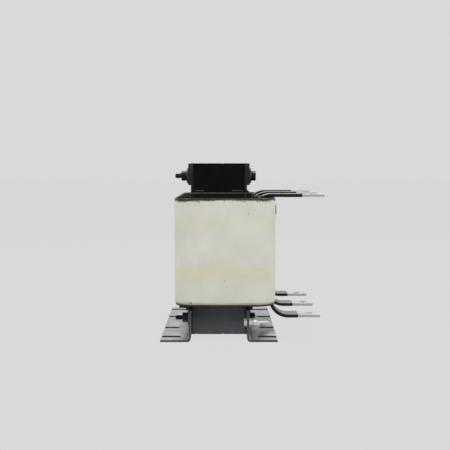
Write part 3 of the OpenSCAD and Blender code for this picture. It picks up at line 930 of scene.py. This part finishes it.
def tapeTab():
    # a short end of dark brown tape stuck to the right side of the front coil
    low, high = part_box("coil_wrap_front")
    start = (low.y + high.y) / 2 - tabShape["width"] * mm / 2
    left = Vector((high.x - tabShape["sunk"] * mm, start, tabShape["from"] * mm))
    right = left + Vector((tabShape["thick"], tabShape["width"], tabShape["height"])) * mm
    tab = addBlock("tapeTab", left, right)
    openMesh()
    cutAcross("z", evenly(left.z, right.z, tabShape["folds"]))
    cutAcross("y", evenly(left.y, right.y, tabShape["folds"]))
    closeMesh()
    for vertex in tab.data.vertices:
        vertex.co.x += tabShape["lift"] * mm * ripple(vertex.co, tabShape["wave"])
    roundEdges(tab, tabShape["edge"], angle=50)
    return dress(tab, "tab", "coil_wrap_front", standsFor=False)


coilEdges = {"liner": 0.3, "former": 1.0}  # mm
tapeTab()
for place in places:
    leadPacking(place)
    coilWrap(place)
    softened("coil_liner_" + place, "board", coilEdges["liner"])
    softened("winding_former_" + place, "phenolic", coilEdges["former"], segments=4)
print("coils wrapped")


# Lead bars and their sleeves

leadShape = {
    "bar": 3.0,  # mm thick
    "barEdge": 0.2,
    "bend": 19.0,  # inside radius of the bar's bend
    "bendSteps": 24,
    "wall": 0.5,  # of the sleeve
    "edge": 0.5,  # rounding of the sleeve over the bar's edges
    "edgeAngle": 60,  # degrees between faces, from which it is rounded
    "runStep": 3.0,
    "widthParts": 4,
    "pucker": 0.22,  # depth of the creases inside the bend and of the dips along the run
    "dip": 7.0,  # from dip to dip
}


def leadSleeve(kind, place):
    # the straight run, spun round the bend and drawn on into the coil, then opened and given its wall
    node = f"{kind}_sleeve_{place}"
    low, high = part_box(node)
    wall = leadShape["wall"] * mm
    inside = leadShape["bend"] * mm - wall
    thick = 2 * wall + leadShape["bar"] * mm
    up = kind == "start"  # these come out at the top of the coil, the others below
    runZ = (high.z - thick, high.z) if up else (low.z, low.z + thick)
    bend = low.x + thick + inside
    bendZ = runZ[0] - inside if up else runZ[1] + inside
    sleeve = addBlock(pieceName(node), (bend, low.y, runZ[0]), (high.x, high.y, runZ[1]))
    selectFaces(sleeve, lambda middle, normal: normal.x < -facing)
    bpy.ops.mesh.spin(steps=leadShape["bendSteps"], angle=math.pi / 2 * (-1 if up else 1),
                      center=(bend, 0, bendZ), axis=(0, -1, 0))
    end = low.z if up else high.z
    bpy.ops.mesh.extrude_region_move(TRANSFORM_OT_translate={"value": (0, 0, end - bendZ)})
    bpy.ops.mesh.delete(type="FACE")
    selectFaces(sleeve, lambda middle, normal: normal.x > facing and middle.x > high.x - hair)
    bpy.ops.mesh.delete(type="FACE")
    cutAcross("x", evenly(bend, high.x, round((high.x - bend) / (leadShape["runStep"] * mm))))
    cutAcross("y", evenly(low.y, high.y, leadShape["widthParts"]))
    closeMesh()
    finishWith(sleeve, "BEVEL", width=leadShape["edge"] * mm, segments=3, limit_method="ANGLE",
               angle_limit=math.radians(leadShape["edgeAngle"]))
    puckerSleeve(sleeve, (bend, bendZ))
    finishWith(sleeve, "SOLIDIFY", thickness=wall, offset=-1)
    return dress(smooth(sleeve, angle=50), "sleeve", node)


def puckerSleeve(sleeve, bendCentre):
    # creases across the inside of the bend, and shallow dips where the tube shrank less evenly
    depth = leadShape["pucker"] * mm
    reach = (leadShape["bend"] + leadShape["bar"] / 2) * mm
    outward = [vertex.normal.copy() for vertex in sleeve.data.vertices]
    for vertex, normal in zip(sleeve.data.vertices, outward):
        point = vertex.co.copy()
        fromCentre = Vector((point.x - bendCentre[0], point.z - bendCentre[1]))
        inBend = point.x < bendCentre[0] and fromCentre.length < reach
        turn = math.atan2(fromCentre.y, fromCentre.x)
        crease = (1 + math.cos(turn * 2 * leadShape["bendSteps"])) / 2 if inBend else 0
        vertex.co = point - normal * depth * (crease + ripple(point, leadShape["dip"])) / 2


for place in places:
    for kind in ("start", "finish"):
        softened(f"{kind}_bar_{place}", "tin", leadShape["barEdge"], segments=3)
        leadSleeve(kind, place)
print("leads sleeved")


# Windings, seen end-on from above and below

windingShape = {
    "turns": 26,  # that fit side by side; a strip drifts out by one, so it makes 25. The CAD's make nine
    "innerRadius": 4.3,  # mm, corner radius of the first turn
    "outerRadius": 19.9,
    "foil": 0.3,
    "sheet": 0.2,
    "foilShare": 0.25,  # where each lies in the space of one turn
    "sheetShare": 0.75,
    "cornerSteps": 6,
    "sideSteps": 9,
    "foilRagged": 0.25,  # most that an edge dips
    "sheetRagged": 1.3,
    "tatter": 5.0,  # from dip to dip
}


def ringPoint(middle, flat, radius, at):
    # point number at of a ring with that corner radius: an arc, then a straight side, four times
    quarter, step = divmod(at, windingShape["cornerSteps"] + windingShape["sideSteps"])
    turned = math.pi / 2 * (quarter + min(step / windingShape["cornerSteps"], 1))
    onSide = max(step - windingShape["cornerSteps"], 0) / windingShape["sideSteps"]
    signs = ((1, 1), (-1, 1), (-1, -1), (1, -1))
    here, following = (Vector(signs[(quarter + after) % 4]) * flat for after in (0, 1))
    point = here.lerp(following, onSide) + radius * Vector((math.cos(turned), math.sin(turned)))
    bow = (radius / mm - windingShape["innerRadius"]) / (wrapShape["corner"] - windingShape["innerRadius"])
    share = point.x / (flat.x + radius)
    point.y += math.copysign(wrapShape["bulge"] * mm * bow * (1 - share * share), point.y)
    return middle + point


def woundStrip(node, wall, share, ragged, finish):
    # one unbroken strip wound outwards round the former, drawn up to its width and thickened
    low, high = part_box(node)
    inner, outer = windingShape["innerRadius"], windingShape["outerRadius"]
    pitch = (outer - inner) / windingShape["turns"]
    middle = ((low + high) / 2).xy
    bow = wrapShape["bulge"] * (outer - inner) / (wrapShape["corner"] - inner)
    flat = ((high - low) / 2).xy - Vector((outer, outer + bow)) * mm
    perTurn = 4 * (windingShape["cornerSteps"] + windingShape["sideSteps"])
    points = []
    for at in range(perTurn * (windingShape["turns"] - 1)):
        radius = inner + pitch * (at / perTurn + share)
        points.append((*ringPoint(middle, flat, radius * mm, at % perTurn), low.z))
    ribbon = addOutline(pieceName(node), points)
    activate(ribbon)
    openMesh()
    bpy.ops.mesh.select_mode(type="EDGE")
    bpy.ops.mesh.extrude_edges_move(TRANSFORM_OT_translate={"value": (0, 0, high.z - low.z)})
    closeMesh()
    for vertex in ribbon.data.vertices:
        dip = ragged * mm * ripple(vertex.co, windingShape["tatter"])
        vertex.co.z += dip if vertex.co.z < (low.z + high.z) / 2 else -dip
    finishWith(ribbon, "SOLIDIFY", thickness=wall * mm, offset=0)
    return dress(smooth(ribbon, angle=60), finish, node)


for place in places:
    for node, kind, finish in (("foil_winding_", "foil", "copper"), ("interleaf_sheet_", "sheet", "board")):
        woundStrip(node + place, windingShape[kind], windingShape[kind + "Share"],
                   windingShape[kind + "Ragged"], finish)
print("windings wound")


# Fasteners

boltShape = {
    "radius": 3.0,  # mm
    "head": 4.0,  # mm high
    "pitch": 1.0,
    "thread": 24.0,  # threaded length
    "threadDepth": 0.55,
    "play": 0.05,  # between thread and nut
    "offTurn": 9,  # degrees that a hexagon stands off from upright
    "washerEdge": 0.25,
    "boardEdge": 0.3,
    "ringSides": 64,
}
hexShape = {
    "past": 1.05,  # a chamfer's cone is this much wider than the corners, and longer than the chamfer
    "faceShare": 0.47,  # radius of the flat that the chamfer leaves, of the width across flats
    "chamfer": 30,  # degrees between that flat and the chamfer
}
threadShape = {
    "steps": 20,  # round one turn
    "crestShare": 1 / 8,  # of one pitch, where the crest ends
    "rootShares": (1 / 2, 5 / 8),  # and where the root starts and ends
}


def rodRadius(shape):
    return (shape["radius"] - shape["play"]) * mm


def acrossFlats(low, high):
    return min(high.y - low.y, high.z - low.z)


def hexBody(name, middle, start, end, flats, bore=0):
    # a hexagon cut back by a cone at each end, which leaves the arcs that a real nut shows
    corner = flats / math.sqrt(3)
    wide = corner * hexShape["past"]
    face = flats * hexShape["faceShare"]
    drop = (wide - face) * math.tan(math.radians(hexShape["chamfer"]))
    reach = drop * hexShape["past"]
    share = 1 - (1 - face / wide) * hexShape["past"]
    body = addRound(name, middle, corner, start, end, 6)
    changeAbout(body, middle, Matrix.Rotation(math.pi / 6, 4, "X"))
    cone = addRound("cone", middle, wide, start + drop, end - drop)
    for way in (-1, 1):
        selectFaces(cone, lambda centre, normal: normal.x * way > facing)
        bpy.ops.mesh.extrude_region_move(TRANSFORM_OT_translate={"value": (way * reach, 0, 0)})
        bpy.ops.transform.resize(value=(1, share, share), center_override=(start, middle.y, middle.z))
        closeMesh()
    cutWith(body, cone, "INTERSECT")
    if bore:
        cutWith(body, addRound("bore", middle, bore, start - flats, end + flats))
    return smooth(body, angle=20)


def threadedRod(name, middle, tip, end, shape):
    # one thread's outline swept into a helix, trimmed flat at both ends and tapered at the tip
    length = abs(end - tip)
    way = math.copysign(1, end - tip)
    radius = rodRadius(shape)
    pitch = shape["pitch"] * mm
    root = radius - shape["threadDepth"] * mm
    crestEnd = pitch * threadShape["crestShare"]
    rootStart, rootEnd = (pitch * share for share in threadShape["rootShares"])
    rod = addOutline(name, [(radius, 0, 0), (radius, 0, crestEnd), (root, 0, rootStart), (root, 0, rootEnd),
                            (radius, 0, pitch)])
    finishWith(rod, "SCREW", axis="Z", angle=2 * math.pi, screw_offset=pitch,
               iterations=round(length / pitch) + 2, steps=threadShape["steps"],
               render_steps=threadShape["steps"])
    openMesh()
    bpy.ops.mesh.remove_doubles(threshold=hair)
    for height, cleared in ((pitch, "clear_inner"), (pitch + length, "clear_outer")):
        bpy.ops.mesh.select_all(action="SELECT")
        bpy.ops.mesh.bisect(plane_co=(0, 0, height), plane_no=(0, 0, 1), use_fill=True, threshold=hair,
                            **{cleared: True})
    bpy.ops.mesh.select_all(action="SELECT")
    bpy.ops.mesh.normals_make_consistent(inside=False)
    closeMesh()
    for vertex in rod.data.vertices:
        across = vertex.co.xy.length
        limit = root + vertex.co.z - pitch
        if across > limit > 0:
            vertex.co.x *= limit / across
            vertex.co.y *= limit / across
    rod.rotation_euler = (0, way * math.pi / 2, 0)
    rod.location = (tip - way * pitch, middle.y, middle.z)
    return smooth(settle(rod), angle=50)


def yokeBolt(name, low, high):
    # the thread's tip is at the low end, the head at the high one
    middle = (low + high) / 2
    neck = high.x - boltShape["head"] * mm
    threadEnd = low.x + boltShape["thread"] * mm
    thread = threadedRod(name, middle, low.x, threadEnd, boltShape)
    shank = addRound("shank", middle, rodRadius(boltShape), threadEnd, neck)
    head = hexBody("head", middle, neck, high.x, acrossFlats(low, high))
    return joinAll(name, [thread, shank, head])


def nutBody(name, low, high, radius):
    return hexBody(name, (low + high) / 2, low.x, high.x, acrossFlats(low, high), radius * mm)


def flatRing(name, low, high, radius, edge):
    middle = (low + high) / 2
    bore = radius * mm
    ring = addRound(name, middle, (high.y - low.y) / 2, low.x, high.x, boltShape["ringSides"])
    cutWith(ring, addRound("bore", middle, bore, low.x - bore, high.x + bore))
    return roundEdges(ring, edge, angle=50)


def repeatSolids(node, makeOne, finish, turned=False, **shape):
    # the first solid of a node is modelled, the rest are copies in place; turned gives each its own angle
    name = pieceName(node)
    boxes = solidBoxes(node)
    middles = [(low + high) / 2 for low, high in boxes]
    solids = [makeOne(name, *boxes[0], **shape)]
    for middle in middles[1:]:
        solids.append(copyOf(solids[0], name, middle - middles[0]))
    for solid, middle in zip(solids, middles):
        angle = dice.uniform(-1, 1) * math.radians(boltShape["offTurn"]) if turned else 0
        changeAbout(solid, middle, Matrix.Rotation(angle, 4, "X"))
    return dress(joinAll(name, solids), finish, node)


repeatSolids("yoke_bolts", yokeBolt, "oxide", turned=True)
bore = boltShape["radius"]
repeatSolids("yoke_nuts", nutBody, "oxide", turned=True, radius=bore)
repeatSolids("yoke_washers", flatRing, "oxide", radius=bore, edge=boltShape["washerEdge"])
repeatSolids("insulating_washers", flatRing, "laminate", radius=bore, edge=boltShape["boardEdge"])
print("yoke bolts fitted")


# Earth terminal on the right foot

earthShape = {
    "radius": 2.5,  # mm
    "head": 3.5,  # mm high
    "pitch": 0.8,
    "threadDepth": 0.45,
    "play": 0.05,
    "ringEdge": 0.15,
    "toothEdge": 0.08,
}


def earthBolt():
    low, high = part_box("earth_bolt")
    middle = (low + high) / 2
    neck = low.x + earthShape["head"] * mm
    stud = threadedRod("earthBolt", middle, high.x, neck, earthShape)
    head = hexBody("head", middle, low.x, neck, acrossFlats(low, high))
    return dress(joinAll("earthBolt", [stud, head]), "zinc", "earth_bolt")


def earthNut(node, body):
    return dress(nutBody(pieceName(node), *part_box(node), earthShape["radius"]), "zinc", node, body)


def earthRing(node, body):
    ring = flatRing(pieceName(node), *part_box(node), earthShape["radius"], earthShape["ringEdge"])
    return dress(ring, "zinc", node, body)


def earthSpring(node, body, edge):
    # toothed and split washers keep the shape of the real ones, with their sharp edges broken
    return softened(node, "zinc", edge, segments=1, angle=40, body=body)


earthBolt()
earthSpring("earth_lock_washer", "choke", earthShape["toothEdge"])
earthNut("earth_fixing_nut", "choke")
earthRing("earth_inner_washer", "choke")
earthRing("earth_outer_washer", "loose_washers")
earthSpring("earth_spring_washer", "loose_washers", earthShape["ringEdge"])
earthNut("earth_nut", "earth_nut")
print("earth terminal fitted")


# Nodes that stay as they are get their finish

keptNodes = {
    "primer": [f"core_leg_{place}" for place in places],
    "laminate": ["air_gap_plates", "bolt_tubes"],
}
for finish, names in keptNodes.items():
    for name in names:
        paint(nodes[name], finish)
print("kept nodes finished")
